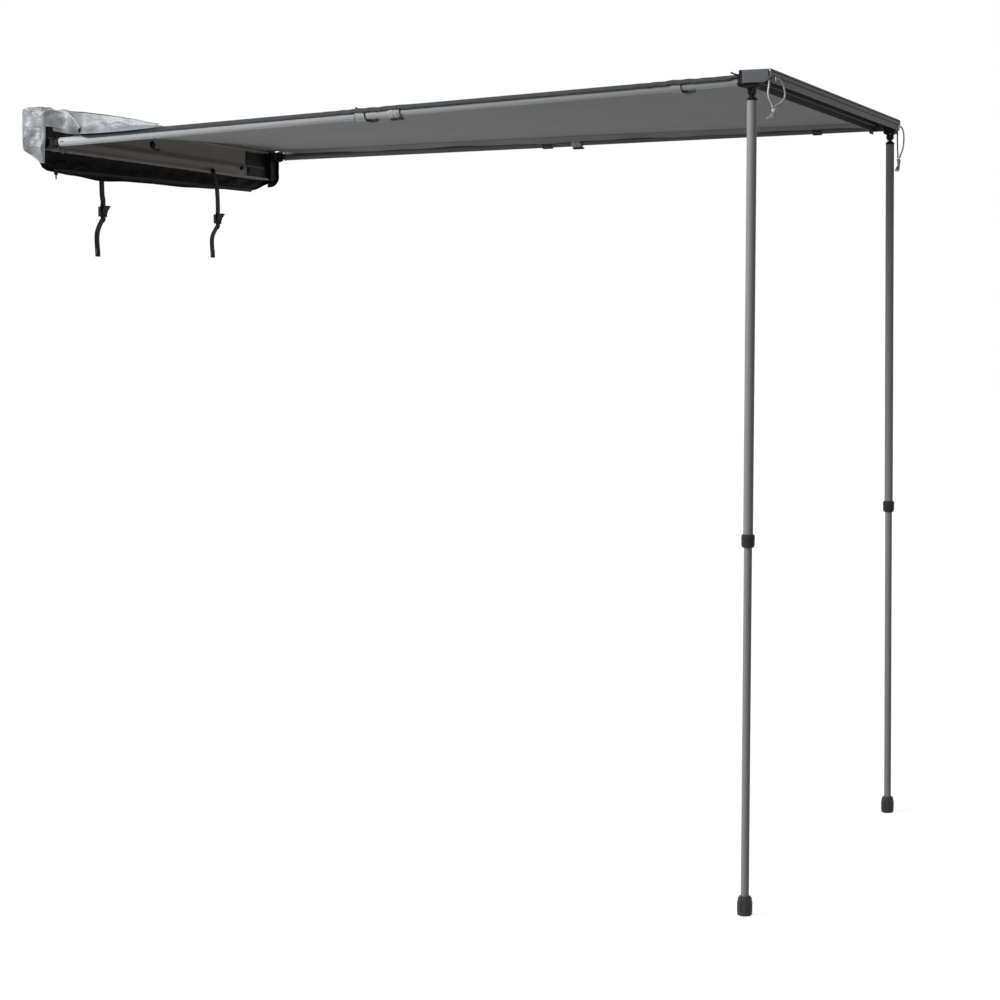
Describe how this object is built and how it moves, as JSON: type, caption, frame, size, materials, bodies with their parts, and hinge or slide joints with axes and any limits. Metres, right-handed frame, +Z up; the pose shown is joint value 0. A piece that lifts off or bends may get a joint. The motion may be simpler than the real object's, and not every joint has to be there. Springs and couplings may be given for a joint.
{
  "type": "vehicle side awning",
  "caption": "Roll-out awning for a vehicle's side: fabric canopy between a back plate and a front rail, on swing-out telescopic arms and fold-down telescopic legs.",
  "frame": {"origin": "centre of the back plate's rear face, which lies against the rack brackets", "axes": "+Y into the vehicle, so the awning rolls out along -Y; +X along the plate from the near arm to the far arm; +Z up"},
  "size_m": [1.4091, 2.136, 2.0539],
  "materials": {
    "plate": "fine matte anodised taupe grey",
    "rail": "satin anodised brown grey",
    "tube": "satin drawn tube",
    "bracket": "black moulded",
    "cap": "slate grey moulded",
    "lock": "black moulded",
    "foot": "black rubber",
    "pin": "plated steel",
    "canopy": "coated canvas, mid grey beneath",
    "cover_silver": "silver faced cover cloth",
    "cover_black": "black cover cloth",
    "webbing": "black woven webbing",
    "rope": "off white braided cord"
  },
  "bodies": {
    "root": {"back_plate": "plate", "plate_bolt": "pin", "near_end_bracket": "bracket", "far_end_bracket": "bracket", "near_arm_hinge_pin": "pin", "far_arm_hinge_pin": "pin", "canopy": "canopy", "plate_bead": "canopy", "cover_lower_flap": "cover_black", "cover_upper_flap": "cover_silver", "cover_near_panel": "cover_silver", "cover_far_panel": "cover_black", "cover_zip": "cover_black", "near_strap": "webbing", "far_strap": "webbing", "near_strap_buckle": "lock", "far_strap_buckle": "lock", "near_canopy_tie_rear": "webbing", "near_canopy_tie_front": "webbing", "far_canopy_tie_rear": "webbing", "far_canopy_tie_front": "webbing"},
    "zip_slider": {"zip_slider": "lock"},
    "rail": {"front_rail": "rail", "rail_bead": "canopy", "near_rail_cap": "cap", "near_leg_bracket": "bracket", "near_leg_pivot_pin": "pin", "near_rope_inner_strand": "rope", "near_rope_outer_strand": "rope", "near_rope_knot": "rope", "far_rail_cap": "cap", "far_leg_bracket": "bracket", "far_leg_pivot_pin": "pin", "far_rope_inner_strand": "rope", "far_rope_outer_strand": "rope", "far_rope_knot": "rope"},
    "near_arm": {"near_arm_knuckle": "bracket", "near_arm_outer_tube": "tube"},
    "near_arm_inner": {"near_arm_inner_tube": "tube", "near_arm_tip_plug": "lock", "near_arm_lock_cam": "lock"},
    "near_arm_collar": {"near_arm_lock_collar": "lock"},
    "near_leg": {"near_leg_knuckle": "bracket", "near_leg_outer_tube": "tube"},
    "near_leg_inner": {"near_leg_inner_tube": "tube", "near_leg_lock_cam": "lock", "near_leg_foot": "foot"},
    "near_leg_collar": {"near_leg_lock_collar": "lock"},
    "far_arm": {"far_arm_knuckle": "bracket", "far_arm_outer_tube": "tube"},
    "far_arm_inner": {"far_arm_inner_tube": "tube", "far_arm_tip_plug": "lock", "far_arm_lock_cam": "lock"},
    "far_arm_collar": {"far_arm_lock_collar": "lock"},
    "far_leg": {"far_leg_knuckle": "bracket", "far_leg_outer_tube": "tube"},
    "far_leg_inner": {"far_leg_inner_tube": "tube", "far_leg_lock_cam": "lock", "far_leg_foot": "foot"},
    "far_leg_collar": {"far_leg_lock_collar": "lock"}
  },
  "joints": [
    {"name": "rail_slide", "type": "slide", "parent": "root", "child": "rail", "axis": [0, 1, 0], "range_m": [0, 0.84], "deforming": ["canopy", "near_canopy_tie_rear", "near_canopy_tie_front", "far_canopy_tie_rear", "far_canopy_tie_front"]},
    {"name": "zip_slide", "type": "slide", "parent": "root", "child": "zip_slider", "axis": [0.9999, 0, 0.0135], "range_m": [0, 1.09]},
    {"name": "near_arm_swing", "type": "hinge", "parent": "root", "child": "near_arm", "pos_m": [-0.65, -0.055, -0.035], "axis": [0, 0.0396, 0.9992], "range_deg": [0, 90], "deforming": ["near_canopy_tie_rear", "near_canopy_tie_front"]},
    {"name": "near_arm_extend", "type": "slide", "parent": "near_arm", "child": "near_arm_inner", "axis": [0, 0.9992, -0.0396], "range_m": [0, 0.84]},
    {"name": "near_arm_lock", "type": "hinge", "parent": "near_arm", "child": "near_arm_collar", "pos_m": [-0.65, -1.08419, 0.00574], "axis": [0, -0.9992, 0.0396], "range_deg": [0, 90]},
    {"name": "far_arm_swing", "type": "hinge", "parent": "root", "child": "far_arm", "pos_m": [0.65, -0.055, 0.025], "axis": [0, -0.0098, -1], "range_deg": [0, 90], "deforming": ["canopy", "far_canopy_tie_rear", "far_canopy_tie_front"]},
    {"name": "far_arm_extend", "type": "slide", "parent": "far_arm", "child": "far_arm_inner", "axis": [0, 1, -0.0098], "range_m": [0, 0.84]},
    {"name": "far_arm_lock", "type": "hinge", "parent": "far_arm", "child": "far_arm_collar", "pos_m": [0.65, -1.08495, 0.03506], "axis": [0, -1, 0.0098], "range_deg": [0, 90]},
    {"name": "near_leg_fold", "type": "hinge", "parent": "rail", "child": "near_leg", "pos_m": [-0.65, -2.0245, 0.015], "axis": [0, -1, 0], "range_deg": [0, 90]},
    {"name": "near_leg_extend", "type": "slide", "parent": "near_leg", "child": "near_leg_inner", "axis": [0.0121, 0, 0.9999], "range_m": [0, 0.82]},
    {"name": "near_leg_lock", "type": "hinge", "parent": "near_leg", "child": "near_leg_collar", "pos_m": [-0.66297, -2.0245, -1.05892], "axis": [0.0121, 0, 0.9999], "range_deg": [0, 90]},
    {"name": "far_leg_fold", "type": "hinge", "parent": "rail", "child": "far_leg", "pos_m": [0.65, -2.0545, 0.015], "axis": [0, 1, 0], "range_deg": [0, 90]},
    {"name": "far_leg_extend", "type": "slide", "parent": "far_leg", "child": "far_leg_inner", "axis": [-0.0242, 0, 0.9997], "range_m": [0, 0.82]},
    {"name": "far_leg_lock", "type": "hinge", "parent": "far_leg", "child": "far_leg_collar", "pos_m": [0.67594, -2.0545, -1.05869], "axis": [-0.0242, 0, 0.9997], "range_deg": [0, 90]}
  ],
  "couplings": [
    {"joint": "near_arm_extend", "follows": "rail_slide", "ratio": 1},
    {"joint": "far_arm_extend", "follows": "rail_slide", "ratio": 1}
  ]
}
